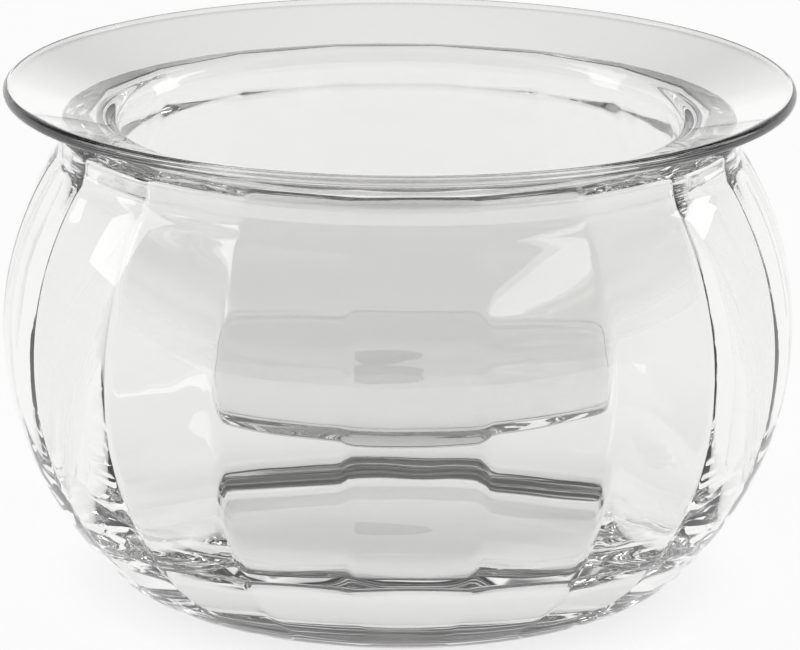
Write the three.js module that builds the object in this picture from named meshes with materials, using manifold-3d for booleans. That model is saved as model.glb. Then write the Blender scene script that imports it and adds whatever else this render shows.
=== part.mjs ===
// A two-piece glass chilling server: a heavy round bowl that holds the ice, and a flanged dish
// that hangs in the bowl's mouth by its rim and lifts straight out.
// Millimetres, +Z up. The origin is the centre of the flat foot, and a panel faces -Y.
import * as THREE from 'three';
import { mergeVertices } from 'three/addons/utils/BufferGeometryUtils.js';
import Module from 'manifold-3d';

const ROUND_STEPS = 72; // facets round every turned surface
const PANELS = 18; // flat upright panels round the inside of the bowl
const GAP = 0.3; // left between the flange and the lip that carries it

// Bowl, outside: a flattened sphere on a flat foot, ending in a short neck with a flat-topped lip.
const BELLY_RADIUS = 90.6;
const BELLY_HALF_HEIGHT = 81.3;
const BELLY_Z = 59.6;
const FOOT_RADIUS = 55;
const FOOT_CORNER_RADIUS = 60.5; // where the lines of the foot and of the flattened sphere cross
const FOOT_EDGE_Z = 4.5; // where the rounding of the foot meets the flattened sphere
const SHOULDER_Z = 98; // where the flattened sphere runs into the neck
const LIP_OUTER_RADIUS = 77.6;
const LIP_TOP_Z = 107.1;
const LIP_HEIGHT = 4; // upright stretch of the neck below the top
const LIP_FALL = 0.8; // the top is this much lower at its outer edge
const LIP_ROUNDING = 1.2;

// Bowl, inside. Radii are measured to the middle of a flat panel.
const FLOOR_Z = 8.5;
const FLOOR_FLAT_RADIUS = 30; // beyond it the floor rises gently
const FLOOR_RADIUS = 51.5;
const FLOOR_RISE = 3;
const WALL_CONTROL = [80.6, 22.4]; // where the tangents of the lower wall's two ends cross
const CAVITY_RADIUS = 82;
const CAVITY_Z = 60;
const CLOSING_HALF_HEIGHT = 76.8; // half height of the ellipse that closes in above it
const CLOSING_Z = 95; // where that ellipse runs into the upright mouth
const MOUTH_RADIUS = 70.2;
const MOUTH_CORNER_Z = 102; // where the lines of the ellipse and of the mouth cross
const MOUTH_Z = 105;

// Dish: a flat floor, a conical lower wall, an upright wall, and a wide shallow flange.
const DISH_FOOT_Z = 42.6;
const DISH_FOOT_RADIUS = 46;
const DISH_FLOOR = 5.2; // thickness
const DISH_FLOOR_RADIUS = 45.6;
const DISH_WALL_RADIUS = 67.4;
const DISH_WALL = 3.4; // thickness
const DISH_BEND_Z = 72; // where the lines of the cone and of the upright wall cross
const DISH_BEND = 8; // length cut from each side of that bend
const DISH_BEND_INNER_RISE = 1.1; // the inner bend is this much higher and shorter: an even wall
const SMALL_ROUNDING = 1.5; // length cut from each side of the small corners
const FLANGE_ROUNDING = 2.5; // the same, where the flange leaves the wall
const RIM_RADIUS = 90;
const RIM_THICKNESS = 2.6;
const FLANGE = 2.8; // thickness, measured upright
const FLANGE_SLOPE = 0.33; // rise per millimetre outward

// A stretch of ellipse in the profile, from one angle to another in degrees, both ends included.
function arc([centreR, centreZ], [radiusR, radiusZ], from, to, steps) {
  return Array.from({ length: steps + 1 }, (_, i) => {
    const angle = THREE.MathUtils.degToRad(from + ((to - from) * i) / steps);
    return [centreR + radiusR * Math.cos(angle), centreZ + radiusZ * Math.sin(angle)];
  });
}

// A smooth bend from start to end, tangent to the lines that meet at corner.
function bend(start, corner, end, steps) {
  const curve = new THREE.QuadraticBezierCurve(
    new THREE.Vector2(...start), new THREE.Vector2(...corner), new THREE.Vector2(...end));
  return curve.getPoints(steps).map((point) => [point.x, point.y]);
}

// The point at a distance from one point on the way to another.
function towards([r, z], [otherR, otherZ], distance) {
  const length = Math.hypot(otherR - r, otherZ - z);
  return [r + ((otherR - r) * distance) / length, z + ((otherZ - z) * distance) / length];
}

// An outline through corners [r, z, cut, steps]: a bend replaces cut on each side of a corner.
function rounded(corners) {
  return corners.flatMap(([r, z, cut, steps], i) => {
    if (!cut) return [[r, z]];
    const here = [r, z];
    return bend(towards(here, corners[i - 1], cut), here, towards(here, corners[i + 1], cut), steps);
  });
}

// Turns a profile of [radius, z] points, which starts and ends on the axis, about +Z.
function turned(profile, steps, startAngle = 0) {
  const points = profile.map(([r, z]) => new THREE.Vector2(r, z));
  return new THREE.LatheGeometry(points, steps, startAngle).rotateX(Math.PI / 2);
}

function bellyRadius(z) {
  return BELLY_RADIUS * Math.sqrt(1 - ((z - BELLY_Z) / BELLY_HALF_HEIGHT) ** 2);
}

function bellyAngle(z) {
  return THREE.MathUtils.radToDeg(Math.asin((z - BELLY_Z) / BELLY_HALF_HEIGHT));
}

const wasm = await Module();
wasm.setup();

function toSolid(geometry) {
  const bare = geometry.clone();
  bare.deleteAttribute('normal');
  bare.deleteAttribute('uv');
  const merged = mergeVertices(bare);
  return new wasm.Manifold(new wasm.Mesh({
    numProp: 3,
    vertProperties: merged.attributes.position.array,
    triVerts: new Uint32Array(merged.index.array),
  }));
}

function toGeometry(solid) {
  const mesh = solid.getMesh();
  const geometry = new THREE.BufferGeometry();
  geometry.setAttribute('position', new THREE.BufferAttribute(mesh.vertProperties, 3));
  geometry.setIndex(new THREE.BufferAttribute(mesh.triVerts, 1));
  geometry.computeVertexNormals();
  return geometry;
}

function bowlOutside() {
  const footEdge = [bellyRadius(FOOT_EDGE_Z), FOOT_EDGE_Z];
  const shoulder = [bellyRadius(SHOULDER_Z), SHOULDER_Z];
  const neckZ = LIP_TOP_Z - LIP_HEIGHT;
  const belly = arc([0, BELLY_Z], [BELLY_RADIUS, BELLY_HALF_HEIGHT],
    bellyAngle(FOOT_EDGE_Z), bellyAngle(SHOULDER_Z), 14);
  return turned([
    [0, 0],
    ...bend([FOOT_RADIUS, 0], [FOOT_CORNER_RADIUS, 0], footEdge, 3),
    ...belly.slice(1, -1),
    ...bend(shoulder, [LIP_OUTER_RADIUS, (SHOULDER_Z + neckZ) / 2], [LIP_OUTER_RADIUS, neckZ], 3),
    ...rounded([
      [LIP_OUTER_RADIUS, neckZ],
      [LIP_OUTER_RADIUS, LIP_TOP_Z - LIP_FALL, LIP_ROUNDING, 3],
      [MOUTH_RADIUS, LIP_TOP_Z],
    ]).slice(1),
    [0, LIP_TOP_Z],
  ], ROUND_STEPS);
}

// The space that the panels enclose, taken up past the lip so that it opens the mouth.
function bowlInside() {
  const above = LIP_TOP_Z + LIP_HEIGHT;
  const toCorner = 1 / Math.cos(Math.PI / PANELS);
  const floorEdge = [FLOOR_RADIUS, FLOOR_Z + FLOOR_RISE];
  const closingAngle = THREE.MathUtils.radToDeg(Math.asin((CLOSING_Z - CAVITY_Z) / CLOSING_HALF_HEIGHT));
  const closing = arc([0, CAVITY_Z], [CAVITY_RADIUS, CLOSING_HALF_HEIGHT], 0, closingAngle, 5);
  const profile = [
    [0, FLOOR_Z],
    ...bend([FLOOR_FLAT_RADIUS, FLOOR_Z],
      [(FLOOR_FLAT_RADIUS + FLOOR_RADIUS) / 2, FLOOR_Z], floorEdge, 3),
    ...bend(floorEdge, WALL_CONTROL, [CAVITY_RADIUS, CAVITY_Z], 9).slice(1),
    ...closing.slice(1, -1),
    ...bend(closing.at(-1), [MOUTH_RADIUS, MOUTH_CORNER_Z], [MOUTH_RADIUS, MOUTH_Z], 3),
    [MOUTH_RADIUS, above],
    [0, above],
  ];
  return turned(profile.map(([r, z]) => [r * toCorner, z]), PANELS, Math.PI / PANELS);
}

function bowl() {
  return toGeometry(toSolid(bowlOutside()).subtract(toSolid(bowlInside())));
}

// Height of the flange's underside, which rests on the inner edge of the lip.
function flangeUnderside(radius) {
  return LIP_TOP_Z + GAP + FLANGE_SLOPE * (radius - MOUTH_RADIUS);
}

function dish() {
  const floorZ = DISH_FOOT_Z + DISH_FLOOR;
  const innerRadius = DISH_WALL_RADIUS - DISH_WALL;
  const edgeRadius = RIM_RADIUS - RIM_THICKNESS / 2;
  const edgeZ = flangeUnderside(edgeRadius) + FLANGE / 2;
  return turned([
    ...rounded([
      [0, DISH_FOOT_Z],
      [DISH_FOOT_RADIUS, DISH_FOOT_Z, SMALL_ROUNDING, 3],
      [DISH_WALL_RADIUS, DISH_BEND_Z, DISH_BEND, 5],
      [DISH_WALL_RADIUS, flangeUnderside(DISH_WALL_RADIUS), FLANGE_ROUNDING, 4],
      [edgeRadius, flangeUnderside(edgeRadius)],
    ]).slice(0, -1),
    ...arc([edgeRadius, edgeZ], [RIM_THICKNESS / 2, FLANGE / 2], -90, 90, 6),
    ...rounded([
      [edgeRadius, edgeZ + FLANGE / 2],
      [innerRadius, flangeUnderside(innerRadius) + FLANGE, FLANGE_ROUNDING, 4],
      [innerRadius, DISH_BEND_Z + DISH_BEND_INNER_RISE, DISH_BEND - DISH_BEND_INNER_RISE, 5],
      [DISH_FLOOR_RADIUS, floorZ, SMALL_ROUNDING, 3],
      [0, floorZ],
    ]).slice(1),
  ], ROUND_STEPS);
}

const bowlGlass = new THREE.MeshStandardMaterial({
  color: 0xe6e9e8, roughness: 0.04, metalness: 0, transparent: true, opacity: 0.3 });
const dishGlass = new THREE.MeshStandardMaterial({
  color: 0xe2e7e4, roughness: 0.04, metalness: 0, transparent: true, opacity: 0.3 });

const outerBowl = new THREE.Mesh(bowl(), bowlGlass);
outerBowl.name = 'outer_bowl';
const insertDish = new THREE.Mesh(dish(), dishGlass);
insertDish.name = 'insert_dish';

const group = new THREE.Group();
group.add(outerBowl, insertDish);

export default group;
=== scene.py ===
from math import asin, cos, degrees, pi, radians, sin, sqrt

import bpy
from mathutils import Matrix, Vector


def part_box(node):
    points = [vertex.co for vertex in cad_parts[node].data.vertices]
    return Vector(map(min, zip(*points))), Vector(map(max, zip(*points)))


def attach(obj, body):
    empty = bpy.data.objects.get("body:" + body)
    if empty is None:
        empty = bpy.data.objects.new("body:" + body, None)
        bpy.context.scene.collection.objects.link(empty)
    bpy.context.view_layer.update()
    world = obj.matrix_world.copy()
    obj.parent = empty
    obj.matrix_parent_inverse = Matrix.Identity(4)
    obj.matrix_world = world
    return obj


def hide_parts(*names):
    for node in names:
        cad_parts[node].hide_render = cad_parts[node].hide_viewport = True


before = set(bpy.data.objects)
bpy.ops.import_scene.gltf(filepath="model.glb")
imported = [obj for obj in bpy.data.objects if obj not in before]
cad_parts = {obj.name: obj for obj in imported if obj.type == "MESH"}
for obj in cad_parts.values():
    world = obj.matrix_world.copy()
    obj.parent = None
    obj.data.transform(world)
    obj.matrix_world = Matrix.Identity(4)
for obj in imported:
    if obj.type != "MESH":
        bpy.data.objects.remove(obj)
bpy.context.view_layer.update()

BOWL_LOW, BOWL_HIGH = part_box("outer_bowl")
DISH_LOW, DISH_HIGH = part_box("insert_dish")
MM = 0.001

# ---- Bowl, outside ----
BOWL_STEPS = 360                 # facets round the bowl
BOWL_FACET = 2 * MM              # longest facet along its profile
PANELS = 18                      # flat upright panels round the cavity
PANEL_SHARPNESS = 900            # the higher, the smaller the radius in the corners between panels
BELLY_RADIUS = BOWL_HIGH[0]
BELLY_Z = 59.6 * MM
BELLY_HALF_HEIGHT = 81.3 * MM
FOOT_RADIUS = 55 * MM
FOOT_CORNER_RADIUS = 60.5 * MM
FOOT_EDGE_Z = 4.5 * MM           # where the foot's rounding meets the flattened sphere
SHOULDER_Z = 98 * MM             # where the flattened sphere runs into the neck
LIP_OUTER_RADIUS = 77.6 * MM
LIP_TOP_Z = BOWL_HIGH[2]
LIP_HEIGHT = 4 * MM              # upright stretch of the neck below the top
LIP_FALL = 0.8 * MM              # the lip's top is this much lower at its outer edge
LIP_ROUNDING = 1.2 * MM          # length cut from each side of its outer corner
LIP_INNER_ROUNDING = 0.8 * MM
LIP_ROUND = 3 * MM               # the outer stretch of the top that is round; inside it, panels begin

# ---- Bowl, inside: radii to the middle of a flat panel ----
FLOOR_Z = 8.5 * MM
FLOOR_FLAT_RADIUS = 30 * MM      # beyond it the floor rises gently to its edge
FLOOR_RADIUS = 51 * MM
FLOOR_RISE = 3 * MM
FLOOR_CORNER = 2 * MM            # length cut from each side of the corner between floor and wall
WALL_CONTROL = (80.6 * MM, 22.4 * MM)
CAVITY_RADIUS = 82 * MM
CAVITY_Z = 60 * MM
CLOSING_HALF_HEIGHT = 76.8 * MM  # half height of the ellipse that closes in above it
CLOSING_Z = 95 * MM              # where that ellipse runs into the upright mouth
MOUTH_RADIUS = 70.2 * MM
MOUTH_CORNER_Z = 102 * MM
MOUTH_Z = 105 * MM

# ---- Dish ----
DISH_STEPS = 240
DISH_FACET = 1.5 * MM
DISH_FOOT_Z = DISH_LOW[2]
DISH_FOOT_RADIUS = 46 * MM
DISH_FLOOR = 5.2 * MM            # thickness of the dish's floor
DISH_FLOOR_RADIUS = 45.6 * MM
DISH_FLOOR_CORNER = 1.5 * MM
DISH_WALL_RADIUS = 67.4 * MM
DISH_WALL = 3.4 * MM
DISH_BEND_Z = 72 * MM            # where the upright wall turns in towards the foot
DISH_BEND = 8 * MM               # length cut from each side of that corner
DISH_INNER_RISE = 1.1 * MM       # the inner bend sits this much higher and is this much shorter
DISH_FOOT_ROUNDING = 1.5 * MM
FLANGE_ROUNDING = 2.5 * MM       # where the flange leaves the wall
FLANGE = 2.8 * MM                # thickness of the flange, measured upright
FLANGE_SLOPE = 0.33              # rise per length outward
RIM_RADIUS = DISH_HIGH[0]
RIM_THICKNESS = 2.6 * MM
RIM_TURN = 75                    # degrees that the rim's rounding turns to each side of outward
SEAT_GAP = 0.3 * MM              # between the flange and the lip

# ---- Light ----
FLOOR_HALF = 6                   # half the floor's width, in metres
FLOOR_DROP = 0.2 * MM            # the floor lies this much below the foot
FLOOR_COLOUR = (0.2, 0.2, 0.2, 1)
FLOOR_LIGHT = 0.93               # what the floor gives off by itself
UNDER_BOWL = 0.75                # painted shadow: the floor's share of that light under the foot, where its glow is turned down
PAINTED_SHADOW = (35 * MM, 85 * MM)      # distances from the axis between which the painted shadow fades out
HORIZON_TOP = 8                  # degrees up to which the horizon is fully bright
CEILING = 30                     # degrees from which the ceiling is dark
CEILING_LIGHT = 0.02
ROOM = (-0.7, -0.1)              # y of the directions between which the dark room fades out
SOFTBOX_DISTANCE = 1.2           # metres from the middle of the bowl

# ---- Camera ----
CAMERA_AZIMUTH = -2.8            # degrees round from the front, -Y
CAMERA_ELEVATION = 13.16         # degrees above the rim, as seen from the rim's centre
CAMERA_DISTANCE = 1.2516         # from there
CAMERA_ROLL = 0.4                # degrees
CAMERA_AIM = (0.4 * MM, 0, 58.7 * MM)
CAMERA_LENS = 247.8              # millimetres, on a sensor 36 wide
RIM_CENTRE = (0, 0, DISH_HIGH[2] - FLANGE / 2)

# ---- Glass ----
GLASS_IOR = 1.52
BOWL_COLOUR = (0.935, 0.935, 0.928)
DISH_COLOUR = (0.96, 0.96, 0.953)
BOWL_DISC_RADIUS = 6.4 * MM      # of the frosted disc in the middle of the underside
DISH_DISC_RADIUS = 5.6 * MM
DISC_EDGE = 0.5 * MM             # width of the disc's soft edge
DISC_STRETCH = 4                 # heights count this many times, so the disc keeps to the underside
DISC_COLOUR = 0.85
DISC_ROUGHNESS = 0.25
RIPPLE_SCALE = 45                # waves in the pressed surface, per metre
RIPPLE = 0.12 * MM               # height of the waves


def steps_between(start, end, count):
    return [start + (end - start) * i / count for i in range(count + 1)]


def arc(centre, radii, from_angle, to_angle, count):
    """Points (r, z) on an ellipse, from one angle to another in degrees."""
    return [(centre[0] + radii[0] * cos(radians(a)), centre[1] + radii[1] * sin(radians(a)))
            for a in steps_between(from_angle, to_angle, count)]


def bend(start, corner, end, count):
    """Points on the smooth bend from start to end that is tangent to the lines through corner."""
    return [tuple(start[k] * (1 - t) ** 2 + 2 * t * (1 - t) * corner[k] + end[k] * t * t
                  for k in (0, 1)) for t in steps_between(0, 1, count)]


def towards(a, b, distance):
    """The point that lies distance from a on the way to b."""
    d = (Vector(b) - Vector(a)).normalized() * distance
    return (a[0] + d.x, a[1] + d.y)


def rounded(corners, count=10):
    """An outline through corners (r, z, cut), each rounded by a bend that starts cut before it."""
    path = [corners[0][:2]]
    for before, (r, z, cut), after in zip(corners, corners[1:-1], corners[2:]):
        here = (r, z)
        path += bend(towards(here, before[:2], cut), here, towards(here, after[:2], cut), count)
    return path + [corners[-1][:2]]


def even(path, longest):
    """The same path with every stretch cut to at most longest."""
    out = [path[0]]
    for a, b in zip(path, path[1:]):
        length = (Vector(b) - Vector(a)).length
        count = max(1, int(length / longest + 0.999))
        if length > 1e-7:
            out += [tuple(a[k] + (b[k] - a[k]) * i / count for k in range(len(a)))
                    for i in range(1, count + 1)]
    return out


def panel_factor(angle):
    """How far the panelled outline stands out from the circle that its panels touch. The soft maximum
    leaves a small radius in each corner, as in pressed glass."""
    pitch = 2 * pi / PANELS
    total = sum(max(cos(angle - (i * pitch - pi / 2)), 0) ** PANEL_SHARPNESS for i in range(PANELS))
    return total ** (-1 / PANEL_SHARPNESS)


def turned(name, profile, steps):
    """A closed body turned about +Z. The profile runs (r, z, panelled) from the axis to the axis;
    panelled goes from 0, round, to 1, following the panels."""
    angles = [2 * pi * i / steps for i in range(steps)]
    factors = [panel_factor(a) for a in angles]
    verts, rings = [(0, 0, profile[0][1])], []
    for r, z, panelled in profile[1:-1]:
        rings.append(range(len(verts), len(verts) + steps))
        verts += [(r * (1 + (f - 1) * panelled) * cos(a), r * (1 + (f - 1) * panelled) * sin(a), z)
                  for a, f in zip(angles, factors)]
    verts.append((0, 0, profile[-1][1]))
    faces = []
    for i in range(steps):
        j = (i + 1) % steps
        faces.append((0, rings[0][j], rings[0][i]))
        faces += [(a[i], a[j], b[j], b[i]) for a, b in zip(rings, rings[1:])]
        faces.append((rings[-1][i], rings[-1][j], len(verts) - 1))
    mesh = bpy.data.meshes.new(name)
    mesh.from_pydata(verts, [], faces)
    mesh.shade_smooth()
    piece = bpy.data.objects.new(name, mesh)
    bpy.context.scene.collection.objects.link(piece)
    return piece


def belly_radius(z):
    return BELLY_RADIUS * sqrt(1 - ((z - BELLY_Z) / BELLY_HALF_HEIGHT) ** 2)


def belly_angle(z):
    return degrees(asin((z - BELLY_Z) / BELLY_HALF_HEIGHT))


def bowl_profile():
    foot_edge = (belly_radius(FOOT_EDGE_Z), FOOT_EDGE_Z)
    shoulder = (belly_radius(SHOULDER_Z), SHOULDER_Z)
    neck_z = LIP_TOP_Z - LIP_HEIGHT
    closing_angle = degrees(asin((CLOSING_Z - CAVITY_Z) / CLOSING_HALF_HEIGHT))
    cavity_top = arc((0, CAVITY_Z), (CAVITY_RADIUS, CLOSING_HALF_HEIGHT), 0, closing_angle, 30)
    cavity_top += bend(cavity_top[-1], (MOUTH_RADIUS, MOUTH_CORNER_Z), (MOUTH_RADIUS, MOUTH_Z), 8)
    outside = [(0, 0)]
    outside += bend((FOOT_RADIUS, 0), (FOOT_CORNER_RADIUS, 0), foot_edge, 10)
    outside += arc((0, BELLY_Z), (BELLY_RADIUS, BELLY_HALF_HEIGHT),
                   belly_angle(FOOT_EDGE_Z), belly_angle(SHOULDER_Z), 60)
    outside += bend(shoulder, (LIP_OUTER_RADIUS, (SHOULDER_Z + neck_z) / 2),
                    (LIP_OUTER_RADIUS, neck_z), 8)
    lip = rounded([(LIP_OUTER_RADIUS, neck_z, 0),
                   (LIP_OUTER_RADIUS, LIP_TOP_Z - LIP_FALL, LIP_ROUNDING),
                   (MOUTH_RADIUS, LIP_TOP_Z, LIP_INNER_ROUNDING), (MOUTH_RADIUS, MOUTH_Z, 0)])
    floor_edge = (FLOOR_RADIUS, FLOOR_Z + FLOOR_RISE)
    floor_bend = bend((FLOOR_FLAT_RADIUS, FLOOR_Z),
                      ((FLOOR_FLAT_RADIUS + FLOOR_RADIUS) / 2, FLOOR_Z), floor_edge, 20)
    wall = bend(floor_edge, WALL_CONTROL, (CAVITY_RADIUS, CAVITY_Z), 50)
    near = [p for p in floor_bend if p[0] < FLOOR_RADIUS - FLOOR_CORNER]
    far = [p for p in wall if (Vector(p) - Vector(floor_edge)).length > FLOOR_CORNER]
    inside = [(0, FLOOR_Z)] + near + bend(near[-1], floor_edge, far[0], 12)[1:-1] + far + cavity_top
    ramp = LIP_OUTER_RADIUS - LIP_ROUND
    ramp_width = ramp - MOUTH_RADIUS - LIP_INNER_ROUNDING
    profile = [(r, z, 0) for r, z in outside]
    profile += [(r, z, min(1, max(0, (ramp - r) / ramp_width))) for r, z in lip]
    profile += [(r, z, 1) for r, z in reversed(inside)]
    return even(profile, BOWL_FACET)


def dish_profile():
    edge = RIM_RADIUS - RIM_THICKNESS / 2
    inner = DISH_WALL_RADIUS - DISH_WALL
    floor_z = DISH_FOOT_Z + DISH_FLOOR

    def under(r):
        return LIP_TOP_Z + SEAT_GAP + FLANGE_SLOPE * (r - MOUTH_RADIUS)

    def top(r):
        return under(r) + FLANGE

    outside = rounded([(0, DISH_FOOT_Z, 0), (DISH_FOOT_RADIUS, DISH_FOOT_Z, DISH_FOOT_ROUNDING),
                       (DISH_WALL_RADIUS, DISH_BEND_Z, DISH_BEND),
                       (DISH_WALL_RADIUS, under(DISH_WALL_RADIUS), FLANGE_ROUNDING),
                       (edge, under(edge), 0)])
    rim = arc((edge, (under(edge) + top(edge)) / 2), (RIM_THICKNESS / 2, FLANGE / 2),
              -RIM_TURN, RIM_TURN, 14)
    inside = rounded([(edge, top(edge), 0), (inner, top(inner), FLANGE_ROUNDING),
                      (inner, DISH_BEND_Z + DISH_INNER_RISE, DISH_BEND - DISH_INNER_RISE),
                      (DISH_FLOOR_RADIUS, floor_z, DISH_FLOOR_CORNER),
                      (0, floor_z, 0)])
    return even([(r, z, 0) for r, z in outside + rim + inside], DISH_FACET)


def fade(nodes, links, source, start, end, low, high):
    """A node that goes smoothly from low to high while source goes from start to end."""
    node = nodes.new("ShaderNodeMapRange")
    node.interpolation_type = "SMOOTHSTEP"
    for name, value in zip(("From Min", "From Max", "To Min", "To Max"), (start, end, low, high)):
        node.inputs[name].default_value = value
    links.new(source, node.inputs["Value"])
    return node.outputs[0]


def distance_to(nodes, links, place, height, stretch=1):
    """Distance from the point on the axis at a height, with heights counted stretch times."""
    scaled = nodes.new("ShaderNodeVectorMath")
    scaled.operation = "MULTIPLY"
    scaled.inputs[1].default_value = (1, 1, stretch)
    distance = nodes.new("ShaderNodeVectorMath")
    distance.operation = "DISTANCE"
    distance.inputs[1].default_value = (0, 0, height * stretch)
    links.new(place.outputs["Object"], scaled.inputs[0])
    links.new(scaled.outputs[0], distance.inputs[0])
    return distance.outputs["Value"]


def glass(name, colour, foot_z, disc_radius):
    """Clear glass, a little rippled, with a frosted disc in the middle of the underside."""
    material = bpy.data.materials.new(name)
    material.use_nodes = True
    nodes, links = material.node_tree.nodes, material.node_tree.links
    shader = nodes["Principled BSDF"]
    shader.inputs["Transmission Weight"].default_value = 1
    shader.inputs["IOR"].default_value = GLASS_IOR
    place = nodes.new("ShaderNodeTexCoord")
    radius = distance_to(nodes, links, place, foot_z, DISC_STRETCH)
    inner = disc_radius - DISC_EDGE
    ramp = nodes.new("ShaderNodeValToRGB")
    ramp.color_ramp.elements[0].color = (DISC_COLOUR, DISC_COLOUR, DISC_COLOUR, 1)
    ramp.color_ramp.elements[1].color = (*colour, 1)
    links.new(fade(nodes, links, radius, inner, disc_radius, 0, 1), ramp.inputs["Fac"])
    links.new(ramp.outputs["Color"], shader.inputs["Base Color"])
    links.new(fade(nodes, links, radius, inner, disc_radius, DISC_ROUGHNESS, 0),
              shader.inputs["Roughness"])
    noise = nodes.new("ShaderNodeTexNoise")
    noise.inputs["Scale"].default_value = RIPPLE_SCALE
    noise.inputs["Detail"].default_value = 1
    bump = nodes.new("ShaderNodeBump")
    bump.inputs["Distance"].default_value = RIPPLE
    links.new(place.outputs["Object"], noise.inputs["Vector"])
    links.new(noise.outputs["Fac"], bump.inputs["Height"])
    links.new(bump.outputs["Normal"], shader.inputs["Normal"])
    return material


def make_floor():
    mesh = bpy.data.meshes.new("floor")
    corners = [(-1, -1), (1, -1), (1, 1), (-1, 1)]
    mesh.from_pydata([(x * FLOOR_HALF, y * FLOOR_HALF, -FLOOR_DROP) for x, y in corners], [],
                     [(0, 1, 2, 3)])
    floor = bpy.data.objects.new("floor", mesh)
    bpy.context.scene.collection.objects.link(floor)
    material = bpy.data.materials.new("floor_white_painted_shadow")
    material.use_nodes = True
    nodes, links = material.node_tree.nodes, material.node_tree.links
    shader = nodes["Principled BSDF"]
    shader.inputs["Base Color"].default_value = FLOOR_COLOUR
    shader.inputs["Roughness"].default_value = 1
    shader.inputs["Specular IOR Level"].default_value = 0
    shader.inputs["Emission Color"].default_value = (1, 1, 1, 1)
    place = nodes.new("ShaderNodeTexCoord")
    # Painted shadow: the floor gives off less light under the bowl, fading out towards the edge of
    # the shadow.
    light = fade(nodes, links, distance_to(nodes, links, place, 0),
                 *PAINTED_SHADOW, FLOOR_LIGHT * UNDER_BOWL, FLOOR_LIGHT)
    links.new(light, shader.inputs["Emission Strength"])
    mesh.materials.append(material)


def make_world():
    """A bright horizon that fades to a dark ceiling, and is dark in front, where the room is."""
    world = bpy.data.worlds.new("studio")
    bpy.context.scene.world = world
    world.use_nodes = True
    nodes, links = world.node_tree.nodes, world.node_tree.links
    background = nodes["Background"]
    background.inputs["Color"].default_value = (1, 1, 1, 1)
    place = nodes.new("ShaderNodeTexCoord")
    split = nodes.new("ShaderNodeSeparateXYZ")
    links.new(place.outputs["Generated"], split.inputs[0])
    low, high = sin(radians(HORIZON_TOP)), sin(radians(CEILING))
    by_height = fade(nodes, links, split.outputs[2], low, high, 1, CEILING_LIGHT)
    by_side = fade(nodes, links, split.outputs[1], *ROOM, 0, 1)
    both = nodes.new("ShaderNodeMath")
    both.operation = "MULTIPLY"
    links.new(by_height, both.inputs[0])
    links.new(by_side, both.inputs[1])
    links.new(both.outputs[0], background.inputs["Strength"])


def softbox(name, azimuth, elevation, size, radiance):
    """A rectangular light aimed at the object. Azimuth 0 is the front, -Y."""
    aim = Vector((0, 0, BELLY_Z))
    a, e = radians(azimuth), radians(elevation)
    place = aim + SOFTBOX_DISTANCE * Vector((sin(a) * cos(e), -cos(a) * cos(e), sin(e)))
    light = bpy.data.lights.new(name, "AREA")
    light.shape = "RECTANGLE"
    light.size, light.size_y = size
    light.energy = radiance * size[0] * size[1] * pi
    lamp = bpy.data.objects.new(name, light)
    lamp.location = place
    lamp.rotation_euler = (aim - place).to_track_quat("-Z", "Y").to_euler()
    bpy.context.scene.collection.objects.link(lamp)


def make_camera():
    """A long lens, 13 degrees above the table, a little round to the left of the front panel."""
    azimuth, elevation = radians(CAMERA_AZIMUTH), radians(CAMERA_ELEVATION)
    place = Vector(RIM_CENTRE) + CAMERA_DISTANCE * Vector((
        sin(azimuth) * cos(elevation), -cos(azimuth) * cos(elevation), sin(elevation)))
    look = Vector(CAMERA_AIM) - place
    turn = look.to_track_quat("-Z", "Y").to_matrix().to_4x4()
    turn @= Matrix.Rotation(radians(CAMERA_ROLL), 4, "Z")
    data = bpy.data.cameras.new("camera")
    data.sensor_fit = "HORIZONTAL"
    data.sensor_width = 36
    data.lens = CAMERA_LENS
    data.clip_end = 100
    camera = bpy.data.objects.new("camera", data)
    camera.matrix_world = Matrix.Translation(place) @ turn
    bpy.context.scene.collection.objects.link(camera)
    bpy.context.scene.camera = camera


def add_piece(piece, body, node, material):
    piece.data.materials.append(material)
    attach(piece, body)
    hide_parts(node)


make_camera()
make_floor()
make_world()
add_piece(turned("bowl", bowl_profile(), BOWL_STEPS), "bowl", "outer_bowl",
          glass("bowl_glass", BOWL_COLOUR, BOWL_LOW[2], BOWL_DISC_RADIUS))
add_piece(turned("dish", dish_profile(), DISH_STEPS), "dish", "insert_dish",
          glass("dish_glass", DISH_COLOUR, DISH_FOOT_Z, DISH_DISC_RADIUS))
softbox("softbox_left", -100, 30, (0.3, 0.8), 2.5)
softbox("softbox_right", 112, 30, (0.3, 0.6), 3)
cycles = bpy.context.scene.cycles
cycles.max_bounces = cycles.transmission_bounces = cycles.glossy_bounces = 32
bpy.context.scene.view_settings.view_transform = "Standard"
